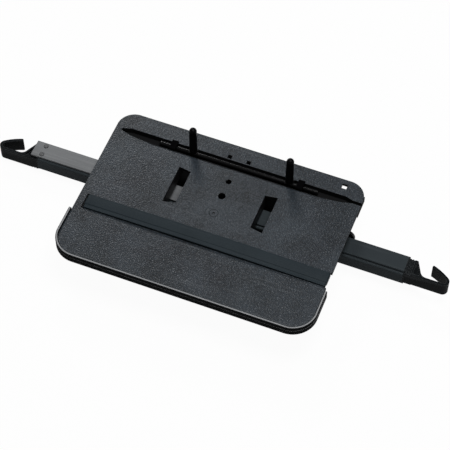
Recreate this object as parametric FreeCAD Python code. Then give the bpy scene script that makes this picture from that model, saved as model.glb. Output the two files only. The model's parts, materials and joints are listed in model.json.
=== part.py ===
import FreeCAD, Part
import math
import os
from FreeCAD import Vector as V

# Car mount tray for a portable player. Millimetres, +X to the right, +Y to the rear, +Z up.
# Origin: centre of the large screw hole, on the top surface of the tray.

# Tray plate
PLATE_HALF_X = 120.0
PLATE_REAR_Y = 58.0
PLATE_DEPTH = 165.0
PLATE_T = 3.0
REAR_CORNER_R = 16.5
FRONT_CORNER_R = 20.5
SCREW_HOLE_R = 3.5
PIN_HOLE_R = 2.65
PIN_HOLE_Y = 17.0
WINDOW_IN_X = 36.1
WINDOW_OUT_X = 47.8
WINDOW_REAR_IN_Y = 14.8
WINDOW_REAR_OUT_Y = 16.4
WINDOW_FRONT_IN_Y = -22.4
WINDOW_FRONT_OUT_Y = -24.5
CORNER_HOLE_SIDE = 5.0
CORNER_HOLE_IN = 20.8
CORNER_HOLE_FORWARD = 7.5
GATE_Y = -19.9
GATE_DISH_R = 1.25
GATE_DISH_DEPTH = 0.7
GATE_RING_R = 4.0
GATE_RING_HALF_W = 0.3
GATE_RING_DEPTH = 0.15
PLATE_FRONT_Y = PLATE_REAR_Y - PLATE_DEPTH
CORNER_HOLE_X = PLATE_HALF_X - CORNER_HOLE_IN
CORNER_HOLE_Y = PLATE_REAR_Y - CORNER_HOLE_FORWARD

# Rear rail: rod in a groove, its two holders and the two sliding pegs
RAIL_INSET = 21.0
ROD_R = 2.25
ROD_SINK = 0.35
ROD_PAST_LEFT = 13.7
ROD_PAST_RIGHT = 17.2
ROD_CHAMFER = 0.4
RUN_CLEAR = 0.05
FREE_CLEAR = 0.35
PEG_WALL = 1.0
PEG_LEFT_X = -42.5
PEG_RIGHT_X = 51.0
PEG_DOME_R = 3.5
PEG_POST_R = 3.8
PEG_POST_ROUND = 1.6
PEG_TOP_Z = 33.9
FOOT_HALF_X = 3.8
FOOT_TOP_Z = 0.5
GROOVE_LEFT_INSET = 15.0
GROOVE_RIGHT_INSET = 16.0
GROOVE_LEFT_TIP_INSET = 6.0
GROOVE_RIGHT_NECK_INSET = 9.0
END_SLOT_HALF_Y = 1.6
END_SLOT_DEPTH = 4.5
LIP_R = 4.5
LIP_END_R = 0.4
LIP_FADE = 26.0
RAIL_RIB_WALL = 0.85
TAB_WALL = 1.5
RAIL_RIB_T = 2.0
RAIL_RIB_INSET = 3.5
TAB_HOLE_X = 9.2
TAB_HOLE_SIDE = 4.0
TAB_HOLE_GAP = 0.95
HOLDER_X = 61.8
HOLDER_HALF_X = 3.0
HOLDER_FLANGE = 1.85
HOLDER_TOP_Z = 1.7
HOLDER_ROUND = 1.6
HOLDER_CLEAR = 0.05
ROD_Y = PLATE_REAR_Y - RAIL_INSET
ROD_LEFT_X = -HOLDER_X - ROD_PAST_LEFT
ROD_RIGHT_X = HOLDER_X + ROD_PAST_RIGHT
ROD_Z = -ROD_SINK - ROD_R
FOOT_HALF_Y = ROD_R + RUN_CLEAR + PEG_WALL
FOOT_BOTTOM_Z = ROD_Z - FOOT_HALF_Y
GROOVE_HALF_Y = FOOT_HALF_Y + FREE_CLEAR
GROOVE_FLOOR_Z = FOOT_BOTTOM_Z - FREE_CLEAR
GROOVE_LEFT_X = -PLATE_HALF_X + GROOVE_LEFT_INSET
GROOVE_RIGHT_X = PLATE_HALF_X - GROOVE_RIGHT_INSET
GROOVE_LEFT_TIP_X = -PLATE_HALF_X + GROOVE_LEFT_TIP_INSET
GROOVE_RIGHT_NECK_X = PLATE_HALF_X - GROOVE_RIGHT_NECK_INSET
GROOVE_FRONT_Y = ROD_Y - GROOVE_HALF_Y
RAIL_RIB_FRONT_Y = GROOVE_FRONT_Y - LIP_R - RAIL_RIB_WALL
RAIL_RIB_LEFT_X = -PLATE_HALF_X + RAIL_RIB_INSET
RAIL_RIB_Z = GROOVE_FLOOR_Z - RAIL_RIB_T
TAB_HOLE_Y = ROD_Y + GROOVE_HALF_Y + TAB_HOLE_GAP + TAB_HOLE_SIDE / 2.0
RAIL_RIB_REAR_Y = TAB_HOLE_Y + TAB_HOLE_SIDE / 2.0 + TAB_WALL
HOLDER_HALF_Y = GROOVE_HALF_Y + HOLDER_FLANGE

# Strap: a closed elastic loop round the tray
STRAP_T = 1.6
STRAP_W = 15.2
STRAP_REAR_Y = -42.0
STRAP_FRONT_Y = STRAP_REAR_Y - STRAP_W
STRAP_SIDE_CLEAR = 0.5
STRAP_RISE = 1.3
STRAP_BEND_R = 1.44
SLOT_INSET = 9.8
SLOT_W = 3.0
SLOT_RIB_T = 1.6
SLOT_RIB_H = 9.0
SLOT_RIB_PAST = 7.0
NOTCH_DEPTH = 2.6
SLOT_RIGHT_X = -PLATE_HALF_X + SLOT_INSET
SLOT_LEFT_X = SLOT_RIGHT_X - SLOT_W
NOTCH_X = PLATE_HALF_X - NOTCH_DEPTH

# Front edge trim
TRIM_T = 2.5
TRIM_TOP_Z = 2.2
TRIM_H = 9.7
TRIM_LINE_DROP = 3.1
TRIM_LINE_H = 1.2
TRIM_LINE_DEPTH = 0.9
TRIM_LIP_T = 1.6
TRIM_LIP_IN = 4.0
TRIM_END_GAP = 4.8
TRIM_ROUND = 0.8
TRIM_BOTTOM_Z = TRIM_TOP_Z - TRIM_H
TRIM_LINE_TOP_Z = TRIM_TOP_Z - TRIM_LINE_DROP
TRIM_LINE_BOTTOM_Z = TRIM_LINE_TOP_Z - TRIM_LINE_H
TRIM_END_Y = STRAP_FRONT_Y - TRIM_END_GAP

# Arms, drawn for the right side; the left arm is the same set turned over about the Y axis,
# with a longer strip that runs on over the neck of the hook
ARM_TOP_Z = -18.4
ARM_LEVEL_STEP = 5.5
ARM_FLAT_H = 2.7
ARM_BLOCK_H = 14.4
ARM_FRONT_Y = -7.0
ARM_W = 21.3
ARM_LEDGE = 2.3
ARM_WALL = 3.0
ARM_ROUND = 1.4
ARM_FLAT_ROUND = 0.8
ARM_INNER_X = 10.0
ARM_SHOWN = 55.0
NICK_INSET = 6.9
NICK_W = 1.3
NICK_DEPTH = 1.0
LEFT_ARM_SHIFT = 7.3
SLIDER_LEN = 12.0
STRIP_T = 1.6
STRIP_END_GAP = 1.0
STRIP_OVERHANG = 7.4
ARM_OUTER_X = PLATE_HALF_X + ARM_SHOWN
ARM_REAR_Y = ARM_FRONT_Y + ARM_W
ARM_FLAT_FRONT_Y = ARM_FRONT_Y + ARM_LEDGE
ARM_FLAT_REAR_Y = ARM_REAR_Y - ARM_LEDGE
BLOCK_TOP_Z = ARM_TOP_Z - ARM_FLAT_H
BLOCK_BOTTOM_Z = BLOCK_TOP_Z - ARM_BLOCK_H
BLOCK_MID_Z = (BLOCK_TOP_Z + BLOCK_BOTTOM_Z) / 2.0
ARM_BOTTOM_Z = BLOCK_BOTTOM_Z - ARM_FLAT_H
STRIP_SEAT_Z = ARM_BOTTOM_Z + STRIP_T
STRIP_INNER_X = ARM_INNER_X + SLIDER_LEN + STRIP_END_GAP
LONG_STRIP_X = ARM_OUTER_X + STRIP_OVERHANG
TURN_Z = (ARM_TOP_Z + ARM_BOTTOM_Z - ARM_LEVEL_STEP) / 2.0

# Hooks and their rivets
PLUG_CLEAR = 0.1
PLUG_LEN = 25.0
COLLAR_LEN = 1.0
NECK_LEN = 7.0
NECK_REAR_DROP = 1.0
NECK_TOP_DROP = 0.8
RIDGE_H = 0.8
RIDGE_W = 1.1
RIDGE_FIRST = 1.2
RIDGE_PITCH = 2.3
RIDGE_COUNT = 3
HOOK_IN_R = 2.6
HOOK_BAND_T = 2.55
HOOK_BAND_H = 14.4
HOOK_RAISE = 1.8
HOOK_SETBACK = 0.95
HOOK_REACH = 28.0
HOOK_JOIN_DEG = 37.0
HOOK_BACK_R = 53.0
HOOK_BACK_LEN = 17.5
HOOK_TIP_ROUND = 1.1
GUSSET_TOP = 1.0
GUSSET_LEAN = 0.5
GUSSET_ROOT_R = 6.0
GUSSET_RIM = 1.6
GUSSET_POCKET = 3.0
RIVET_INSET = 2.3
RIVET_HALF_PITCH = 4.9
RIVET_R = 1.5
RIVET_HEAD_R = 2.3
RIVET_HEAD_H = 0.6
RIVET_ROUND = 0.48
RIVET_BITE = 3.3
COLLAR_END_X = ARM_OUTER_X + COLLAR_LEN
NECK_END_X = COLLAR_END_X + NECK_LEN
LEG_OUT_Y = ARM_FRONT_Y + HOOK_SETBACK
LEG_IN_Y = LEG_OUT_Y + HOOK_BAND_T
HOOK_X = NECK_END_X + HOOK_REACH
HOOK_Y = LEG_IN_Y + HOOK_IN_R
JOIN_ANGLE = math.radians(90.0 - HOOK_JOIN_DEG)
BACK_X = HOOK_X - (HOOK_BACK_R - HOOK_IN_R) * math.cos(JOIN_ANGLE)
BACK_Y = HOOK_Y - (HOOK_BACK_R - HOOK_IN_R) * math.sin(JOIN_ANGLE)
BACK_TURN_DEG = math.degrees(HOOK_BACK_LEN / HOOK_BACK_R)
HOOK_LOW_Z = BLOCK_MID_Z + HOOK_RAISE - HOOK_BAND_H / 2.0
HOOK_TOP_Z = HOOK_LOW_Z + HOOK_BAND_H
NECK_REAR_Y = ARM_FLAT_REAR_Y - NECK_REAR_DROP
GUSSET_TOP_X = NECK_END_X + GUSSET_TOP
GUSSET_ROOT_X = GUSSET_TOP_X + GUSSET_LEAN * (NECK_REAR_Y - LEG_IN_Y)
POCKET_TIP_Y = NECK_REAR_Y - (GUSSET_RIM - GUSSET_TOP) / GUSSET_LEAN
RIDGE_XS = [COLLAR_END_X + RIDGE_FIRST + i * RIDGE_PITCH for i in range(RIDGE_COUNT)]
ARM_MID_Y = (ARM_FRONT_Y + ARM_REAR_Y) / 2.0
RIVET_X = ARM_OUTER_X - RIVET_INSET
RIVET_YS = (ARM_MID_Y - RIVET_HALF_PITCH, ARM_MID_Y + RIVET_HALF_PITCH)
RIVET_TOP_Z = BLOCK_BOTTOM_Z + ARM_WALL + PLUG_CLEAR + RIVET_BITE

# Housing under the tray, with its cover and screws
SLIDE_CLEAR = 0.3
CHANNEL_TOP_GAP = 0.8
CHANNEL_SIDE_GAP = 2.5
HOUSING_END_INSET = 13.0
HOUSING_WALL = 2.5
WELL_WALL = 2.0
STOP_HALF_X = 1.5
WEB_HALF_X = 1.25
PILLAR_END_INSET = 22.0
PIN_RELIEF = 1.35
PILLAR_R = 5.5
PILLAR_BITE = 3.0
BOSS_R = 3.5
BOSS_H = 9.0
BOSS_CLEAR = 0.3
COVER_T = 2.5
SCREW_R = 1.5
SCREW_FIT = 0.05
SCREW_PASS_R = 1.8
SCREW_TOP_SKIN = 2.0
SCREW_END_GAP = 0.5
SCREW_HEAD_R = 3.0
SCREW_HEAD_H = 1.6
SCREW_HEAD_CLEAR = 0.3
SCREW_SLOT_W = 0.8
SCREW_SLOT_DEPTH = 0.7
SCREW_SLOT_REACH = 1.9
HOUSING_HALF_X = PLATE_HALF_X - HOUSING_END_INSET
PILLAR_OUT_X = HOUSING_HALF_X - PILLAR_END_INSET
CHANNEL_TOP_Z = ARM_TOP_Z + CHANNEL_TOP_GAP
CHANNEL_BOTTOM_Z = 2.0 * TURN_Z - CHANNEL_TOP_Z
CHANNEL_FRONT_Y = ARM_FRONT_Y - CHANNEL_SIDE_GAP
CHANNEL_REAR_Y = ARM_REAR_Y + CHANNEL_SIDE_GAP
HOUSING_TOP_Z = -PLATE_T
HOUSING_FRONT_Y = WINDOW_FRONT_OUT_Y - HOUSING_WALL
HOUSING_REAR_Y = CHANNEL_REAR_Y + HOUSING_WALL
PILLAR_FRONT_Y = (HOUSING_FRONT_Y + CHANNEL_FRONT_Y) / 2.0
PILLAR_REAR_Y = HOUSING_REAR_Y + PILLAR_R - PILLAR_BITE
BOSS_BOTTOM_Z = -PLATE_T - BOSS_H
COVER_BOTTOM_Z = CHANNEL_BOTTOM_Z - COVER_T
SCREW_TIP_Z = -PLATE_T - SCREW_TOP_SKIN

# Guide bushes at the housing ends, sliders on the inner arm ends
BUSH_LEN = 30.0
BUSH_SIDE_CLEAR = 0.1
SLIDER_BORE_CLEAR = 0.05
SLIDER_PIN_R = 1.5
SLIDER_PIN_SINK = 0.5
PIN_FIT = 0.03
EAR_GAP = 0.5
EAR_T = 2.5
EAR_LEN = 15.5
EAR_RISE = 2.4
EAR_H = 14.8
EAR_ROUND = 9.0
BUSH_INNER_X = HOUSING_HALF_X - BUSH_LEN
EAR_FRONT_Y = ARM_REAR_Y + EAR_GAP
EAR_REAR_Y = EAR_FRONT_Y + EAR_T
EAR_OUTER_X = HOUSING_HALF_X + EAR_LEN
EAR_TOP_Z = CHANNEL_TOP_Z + EAR_RISE
EAR_BOTTOM_Z = EAR_TOP_Z - EAR_H

# How far a cutting body runs past the faces it cuts, and how far joined bodies run into each other
CUT_EXTRA = 1.0
# Two heights or places closer than this are the same one
SAME = 1e-6


def box(x0, x1, y0, y1, z0, z1):
    return Part.makeBox(x1 - x0, y1 - y0, z1 - z0, V(x0, y0, z0))


def box_sorted(xa, xb, y0, y1, z0, z1):
    return box(min(xa, xb), max(xa, xb), y0, y1, z0, z1)


def cyl_z(x, y, z0, z1, r):
    return Part.makeCylinder(r, z1 - z0, V(x, y, z0), V(0, 0, 1))


def cyl_x(x0, x1, y, z, r):
    return Part.makeCylinder(r, x1 - x0, V(x0, y, z), V(1, 0, 0))


def cyl_y(x, y0, y1, z, r):
    return Part.makeCylinder(r, y1 - y0, V(x, y0, z), V(0, 1, 0))


def prism_z(points, z0, z1):
    ring = [V(px, py, z0) for px, py in points]
    return Part.Face(Part.makePolygon(ring + [ring[0]])).extrude(V(0, 0, z1 - z0))


def prism_x(points, x0, x1):
    ring = [V(x0, py, pz) for py, pz in points]
    return Part.Face(Part.makePolygon(ring + [ring[0]])).extrude(V(x1 - x0, 0, 0))


def prism_y(points, y0, y1):
    ring = [V(px, y0, pz) for px, pz in points]
    return Part.Face(Part.makePolygon(ring + [ring[0]])).extrude(V(0, y1 - y0, 0))


def fuse_all(shapes):
    out = shapes[0]
    for other in shapes[1:]:
        out = out.fuse(other)
    return out.removeSplitter()


def turned_over(shape, shift):
    # Half turn about the Y axis at the turning height, then an outward shift to the left.
    out = shape.copy()
    out.rotate(V(0, 0, TURN_Z), V(0, 1, 0), 180)
    out.translate(V(-shift, 0, 0))
    return out


def arc_edge(cx, cy, z, r, start_deg, turn_deg=90.0):
    # Arc, counter-clockwise from the start angle.
    circle = Part.Circle(V(cx, cy, z), V(0, 0, 1), r)
    return Part.Arc(circle, math.radians(start_deg), math.radians(start_deg + turn_deg)).toShape()


def tray_slab(grow, z0, z1):
    # Tray outline grown outward by a distance, from one height to another.
    hx = PLATE_HALF_X + grow
    yr = PLATE_REAR_Y + grow
    yf = PLATE_FRONT_Y - grow
    rr = REAR_CORNER_R + grow
    rf = FRONT_CORNER_R + grow
    edges = [
        Part.makeLine(V(-hx + rf, yf, z0), V(hx - rf, yf, z0)),
        arc_edge(hx - rf, yf + rf, z0, rf, 270),
        Part.makeLine(V(hx, yf + rf, z0), V(hx, yr - rr, z0)),
        arc_edge(hx - rr, yr - rr, z0, rr, 0),
        Part.makeLine(V(hx - rr, yr, z0), V(-hx + rr, yr, z0)),
        arc_edge(-hx + rr, yr - rr, z0, rr, 90),
        Part.makeLine(V(-hx, yr - rr, z0), V(-hx, yf + rf, z0)),
        arc_edge(-hx + rf, yf + rf, z0, rf, 180),
    ]
    return Part.Face(Part.Wire(edges)).extrude(V(0, 0, z1 - z0))


def pillar_places():
    # Three pillars along the front; two at the rear, where the pin hole keeps the middle free.
    front = [(px, PILLAR_FRONT_Y) for px in (-PILLAR_OUT_X, 0.0, PILLAR_OUT_X)]
    rear = [(px, PILLAR_REAR_Y) for px in (-PILLAR_OUT_X, PILLAR_OUT_X)]
    return front + rear


def groove_end(x_start, x_neck):
    # Stretch over which the groove narrows to the width of its end slot.
    plan = [(x_start, GROOVE_FRONT_Y), (x_start, ROD_Y + GROOVE_HALF_Y),
            (x_neck, ROD_Y + END_SLOT_HALF_Y), (x_neck, ROD_Y - END_SLOT_HALF_Y)]
    return prism_z(plan, GROOVE_FLOOR_Z, CUT_EXTRA)


def lip_wire(x, r):
    # Section of what is cut away to round the front lip of the groove.
    start = V(x, GROOVE_FRONT_Y - r, 0.0)
    middle = V(x, GROOVE_FRONT_Y - r + r * math.sin(math.pi / 4), -r + r * math.cos(math.pi / 4))
    end = V(x, GROOVE_FRONT_Y, -r)
    corners = [end, V(x, ROD_Y, -r), V(x, ROD_Y, CUT_EXTRA), V(x, GROOVE_FRONT_Y - r, CUT_EXTRA), start]
    sides = [Part.makeLine(a, b) for a, b in zip(corners, corners[1:])]
    return Part.Wire([Part.Arc(start, middle, end).toShape()] + sides)


def rounded_lip():
    # Full lip in the middle, fading out towards both ends of the groove.
    sections = [(GROOVE_LEFT_X, LIP_END_R), (GROOVE_LEFT_X + LIP_FADE, LIP_R),
                (GROOVE_RIGHT_X - LIP_FADE, LIP_R), (GROOVE_RIGHT_X, LIP_END_R)]
    wires = [lip_wire(x, r) for x, r in sections]
    return [Part.makeLoft([a, b], True, True) for a, b in zip(wires, wires[1:])]


def gate_mark():
    # Small dish with a fine ring round it, left by the moulding.
    dish_r = (GATE_DISH_R ** 2 + GATE_DISH_DEPTH ** 2) / (2.0 * GATE_DISH_DEPTH)
    dish = Part.makeSphere(dish_r, V(0, GATE_Y, dish_r - GATE_DISH_DEPTH))
    wide = 2.0 * GATE_RING_HALF_W
    groove = [V(GATE_RING_R - wide, GATE_Y, GATE_RING_DEPTH), V(GATE_RING_R, GATE_Y, -GATE_RING_DEPTH),
              V(GATE_RING_R + wide, GATE_Y, GATE_RING_DEPTH)]
    section = Part.Face(Part.makePolygon(groove + [groove[0]]))
    ring = section.revolve(V(0, GATE_Y, 0), V(0, 0, 1), 360)
    return [dish, ring]


def make_tray_plate():
    plate = tray_slab(0.0, -PLATE_T, 0.0)
    rib = box(RAIL_RIB_LEFT_X, PLATE_HALF_X, RAIL_RIB_FRONT_Y, RAIL_RIB_REAR_Y,
              RAIL_RIB_Z, -PLATE_T / 2.0)
    bosses = [cyl_z(px, py, BOSS_BOTTOM_Z, -PLATE_T / 2.0, BOSS_R) for px, py in pillar_places()]
    plate = fuse_all([plate, rib] + bosses)
    under_plate = -PLATE_T - CUT_EXTRA
    # Groove: blind round tip on the left, a narrow slot out through the edge on the right.
    round_tip_x = GROOVE_LEFT_TIP_X + END_SLOT_HALF_Y
    cuts = [
        box(GROOVE_LEFT_X, GROOVE_RIGHT_X, GROOVE_FRONT_Y, ROD_Y + GROOVE_HALF_Y, GROOVE_FLOOR_Z, CUT_EXTRA),
        groove_end(GROOVE_LEFT_X, round_tip_x),
        cyl_z(round_tip_x, ROD_Y, GROOVE_FLOOR_Z, CUT_EXTRA, END_SLOT_HALF_Y),
        groove_end(GROOVE_RIGHT_X, GROOVE_RIGHT_NECK_X),
        box(GROOVE_RIGHT_NECK_X - CUT_EXTRA, PLATE_HALF_X + CUT_EXTRA, ROD_Y - END_SLOT_HALF_Y,
            ROD_Y + END_SLOT_HALF_Y, -END_SLOT_DEPTH, CUT_EXTRA),
    ]
    cuts += rounded_lip() + gate_mark()
    # Windows and the two small square sockets behind the groove.
    tab_half = TAB_HOLE_SIDE / 2.0
    for side in (-1.0, 1.0):
        corners = [(side * WINDOW_IN_X, WINDOW_REAR_IN_Y), (side * WINDOW_OUT_X, WINDOW_REAR_OUT_Y),
                   (side * WINDOW_OUT_X, WINDOW_FRONT_OUT_Y), (side * WINDOW_IN_X, WINDOW_FRONT_IN_Y)]
        cuts.append(prism_z(corners, under_plate, CUT_EXTRA))
        cx = side * TAB_HOLE_X
        cuts.append(box(cx - tab_half, cx + tab_half, TAB_HOLE_Y - tab_half, TAB_HOLE_Y + tab_half,
                        GROOVE_FLOOR_Z, CUT_EXTRA))
    # Screw hole, pin hole and the square hole in the rear right corner.
    cuts.append(cyl_z(0, 0, under_plate, CUT_EXTRA, SCREW_HOLE_R))
    cuts.append(cyl_z(0, PIN_HOLE_Y, under_plate, CUT_EXTRA, PIN_HOLE_R))
    half = CORNER_HOLE_SIDE / 2.0
    cuts.append(box(CORNER_HOLE_X - half, CORNER_HOLE_X + half, CORNER_HOLE_Y - half,
                    CORNER_HOLE_Y + half, under_plate, CUT_EXTRA))
    # Strap slot on the left, strap notch in the right edge.
    slot_y0 = STRAP_FRONT_Y - STRAP_SIDE_CLEAR
    slot_y1 = STRAP_REAR_Y + STRAP_SIDE_CLEAR
    cuts.append(box(SLOT_LEFT_X, SLOT_RIGHT_X, slot_y0, slot_y1, under_plate, CUT_EXTRA))
    cuts.append(box(NOTCH_X, PLATE_HALF_X + CUT_EXTRA, slot_y0, slot_y1, under_plate, CUT_EXTRA))
    slot_rib = box(SLOT_LEFT_X - SLOT_RIB_T, SLOT_LEFT_X, slot_y0, slot_y1 + SLOT_RIB_PAST,
                   -PLATE_T - SLOT_RIB_H, -PLATE_T + CUT_EXTRA)
    plate = fuse_all([plate, slot_rib])
    # Pilot holes for the housing screws.
    for px, py in pillar_places():
        cuts.append(cyl_z(px, py, BOSS_BOTTOM_Z - CUT_EXTRA, SCREW_TIP_Z + SCREW_END_GAP,
                          SCREW_R + SCREW_FIT))
    return plate.cut(cuts).removeSplitter()


def make_front_edge_trim():
    layers = ((TRIM_BOTTOM_Z, TRIM_LINE_BOTTOM_Z, TRIM_T),
              (TRIM_LINE_BOTTOM_Z, TRIM_LINE_TOP_Z, TRIM_T - TRIM_LINE_DEPTH),
              (TRIM_LINE_TOP_Z, TRIM_TOP_Z, TRIM_T))
    walls = [tray_slab(grow, z0, z1).cut(tray_slab(0.0, z0 - CUT_EXTRA, z1 + CUT_EXTRA))
             for z0, z1, grow in layers]
    lip_low = -PLATE_T - TRIM_LIP_T
    lip = tray_slab(TRIM_T / 2.0, lip_low, -PLATE_T).cut(
        tray_slab(-TRIM_LIP_IN, lip_low - CUT_EXTRA, -PLATE_T + CUT_EXTRA))
    ring = fuse_all(walls + [lip])
    reach = PLATE_HALF_X + 2 * TRIM_T
    front = box(-reach, reach, PLATE_FRONT_Y - 2 * TRIM_T, TRIM_END_Y, 2 * TRIM_BOTTOM_Z, 2 * TRIM_TOP_Z)
    trim = ring.common(front)
    top = [e for e in trim.Edges
           if abs(e.BoundBox.ZMin - TRIM_TOP_Z) < SAME and e.BoundBox.ZLength < SAME
           and max(e.BoundBox.XLength, e.BoundBox.YLength) > 2 * TRIM_T]
    return trim.makeFillet(TRIM_ROUND, top)


def make_hold_down_strap():
    left = SLOT_RIGHT_X - STRAP_T
    right = NOTCH_X + STRAP_T
    low = -PLATE_T - STRAP_T
    # Sides and lower run as one closed loop with rounded bends.
    loop = box(left, right, STRAP_FRONT_Y, STRAP_REAR_Y, low, STRAP_T)
    bends = [e for e in loop.Edges if e.BoundBox.YLength > STRAP_T]
    loop = loop.makeFillet(STRAP_BEND_R, bends)
    loop = loop.cut(box(SLOT_RIGHT_X, NOTCH_X, STRAP_FRONT_Y - CUT_EXTRA, STRAP_REAR_Y + CUT_EXTRA,
                        -PLATE_T, STRAP_T + CUT_EXTRA))
    # Upper run as a shallow arch between the two sides.
    span = NOTCH_X - SLOT_RIGHT_X
    arch_r = (span * span / 4.0 + STRAP_RISE * STRAP_RISE) / (2.0 * STRAP_RISE)
    mid_x = (NOTCH_X + SLOT_RIGHT_X) / 2.0
    mid_z = STRAP_RISE - arch_r
    arch = cyl_y(mid_x, STRAP_FRONT_Y, STRAP_REAR_Y, mid_z, arch_r + STRAP_T)
    arch = arch.cut(cyl_y(mid_x, STRAP_FRONT_Y - CUT_EXTRA, STRAP_REAR_Y + CUT_EXTRA, mid_z, arch_r))
    arch = arch.common(box(SLOT_RIGHT_X, NOTCH_X, STRAP_FRONT_Y, STRAP_REAR_Y, -CUT_EXTRA, 4 * STRAP_T))
    return fuse_all([loop, arch])


def make_rail_rod():
    rod = cyl_x(ROD_LEFT_X, ROD_RIGHT_X, ROD_Y, ROD_Z, ROD_R)
    return rod.makeChamfer(ROD_CHAMFER, [e for e in rod.Edges if e.BoundBox.XLength < SAME])


def make_rod_holder(side):
    x0 = side * HOLDER_X - HOLDER_HALF_X
    x1 = side * HOLDER_X + HOLDER_HALF_X
    key_half = GROOVE_HALF_Y - HOLDER_CLEAR
    key = box(x0, x1, ROD_Y - key_half, ROD_Y + key_half, GROOVE_FLOOR_Z, CUT_EXTRA)
    cap = box(x0, x1, ROD_Y - HOLDER_HALF_Y, ROD_Y + HOLDER_HALF_Y, 0.0, HOLDER_TOP_Z)
    long_edges = [e for e in cap.Edges
                  if e.BoundBox.XLength > HOLDER_HALF_X and abs(e.BoundBox.ZMin - HOLDER_TOP_Z) < SAME]
    cap = cap.makeFillet(HOLDER_ROUND, long_edges)
    block = fuse_all([key, cap])
    return block.cut(cyl_x(x0 - CUT_EXTRA, x1 + CUT_EXTRA, ROD_Y, ROD_Z, ROD_R)).removeSplitter()


def make_peg(cx):
    # Post that narrows upwards to a dome, rounded where it meets the foot on the rod.
    dome_z = PEG_TOP_Z - PEG_DOME_R
    post = Part.makeCone(PEG_POST_R, PEG_DOME_R, dome_z - FOOT_TOP_Z, V(cx, ROD_Y, FOOT_TOP_Z))
    rim = [e for e in post.Edges if e.BoundBox.ZMax < FOOT_TOP_Z + SAME]
    post = post.makeFillet(PEG_POST_ROUND, rim)
    dome = Part.makeSphere(PEG_DOME_R, V(cx, ROD_Y, dome_z))
    x0 = cx - FOOT_HALF_X
    x1 = cx + FOOT_HALF_X
    foot = box(x0, x1, ROD_Y - FOOT_HALF_Y, ROD_Y + FOOT_HALF_Y, FOOT_BOTTOM_Z, FOOT_TOP_Z)
    peg = fuse_all([post, dome, foot])
    return peg.cut(cyl_x(x0 - CUT_EXTRA, x1 + CUT_EXTRA, ROD_Y, ROD_Z, ROD_R + RUN_CLEAR))


def arm_section(grow, flat_bottom_z):
    # Arm outline in Y and Z: a block with a raised flat above and below it.
    zt = ARM_TOP_Z + grow
    zb = flat_bottom_z - grow
    bt = BLOCK_TOP_Z + grow
    bb = BLOCK_BOTTOM_Z - grow
    f0 = ARM_FLAT_FRONT_Y - grow
    f1 = ARM_FLAT_REAR_Y + grow
    y0 = ARM_FRONT_Y - grow
    y1 = ARM_REAR_Y + grow
    return [(y0, bb), (f0, bb), (f0, zb), (f1, zb), (f1, bb), (y1, bb),
            (y1, bt), (f1, bt), (f1, zt), (f0, zt), (f0, bt), (y0, bt)]


def slider_pin_hole():
    return cyl_y(ARM_INNER_X + SLIDER_LEN / 2.0, 2 * CHANNEL_FRONT_Y, 2 * CHANNEL_REAR_Y, BLOCK_MID_Z,
                 SLIDER_PIN_R + PIN_FIT)


def rivet_holes():
    return [cyl_z(RIVET_X, ry, ARM_BOTTOM_Z - CUT_EXTRA, RIVET_TOP_Z, RIVET_R) for ry in RIVET_YS]


def make_arm_sleeve():
    body = prism_x(arm_section(0.0, STRIP_SEAT_Z), ARM_INNER_X, ARM_OUTER_X)
    along = [e for e in body.Edges if e.BoundBox.XLength > SLIDER_LEN]
    outer = [e for e in along if abs(e.BoundBox.YMin - ARM_FRONT_Y) < SAME
             or abs(e.BoundBox.YMin - ARM_REAR_Y) < SAME]
    body = body.makeFillet(ARM_ROUND, outer)
    upper = [e for e in body.Edges
             if e.BoundBox.XLength > SLIDER_LEN and abs(e.BoundBox.ZMin - ARM_TOP_Z) < SAME]
    body = body.makeFillet(ARM_FLAT_ROUND, upper)
    hollow = box(ARM_INNER_X - CUT_EXTRA, ARM_OUTER_X + CUT_EXTRA, ARM_FRONT_Y + ARM_WALL,
                 ARM_REAR_Y - ARM_WALL, BLOCK_BOTTOM_Z + ARM_WALL, BLOCK_TOP_Z - ARM_WALL)
    # Small nick in the rear edge of the upper flat, near the hook.
    nick_x = ARM_OUTER_X - NICK_INSET
    nick = box(nick_x, nick_x + NICK_W, ARM_FLAT_REAR_Y - NICK_DEPTH, ARM_FLAT_REAR_Y + CUT_EXTRA,
               BLOCK_TOP_Z, ARM_TOP_Z + CUT_EXTRA)
    return body.cut([hollow, nick, slider_pin_hole()] + rivet_holes()).removeSplitter()


def make_arm_strip(outer_x):
    strip = box(STRIP_INNER_X, outer_x, ARM_FLAT_FRONT_Y, ARM_FLAT_REAR_Y, ARM_BOTTOM_Z, STRIP_SEAT_Z)
    return strip.cut(rivet_holes()).removeSplitter()


def make_hook_rivets():
    out = []
    head_z = ARM_BOTTOM_Z - RIVET_HEAD_H
    for ry in RIVET_YS:
        shank = cyl_z(RIVET_X, ry, ARM_BOTTOM_Z, RIVET_TOP_Z, RIVET_R)
        head = cyl_z(RIVET_X, ry, head_z, ARM_BOTTOM_Z, RIVET_HEAD_R)
        rim = [e for e in head.Edges if abs(e.BoundBox.ZMin - head_z) < SAME and e.BoundBox.ZLength < SAME]
        out.append(fuse_all([shank, head.makeFillet(RIVET_ROUND, rim)]))
    return Part.makeCompound(out)


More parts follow.
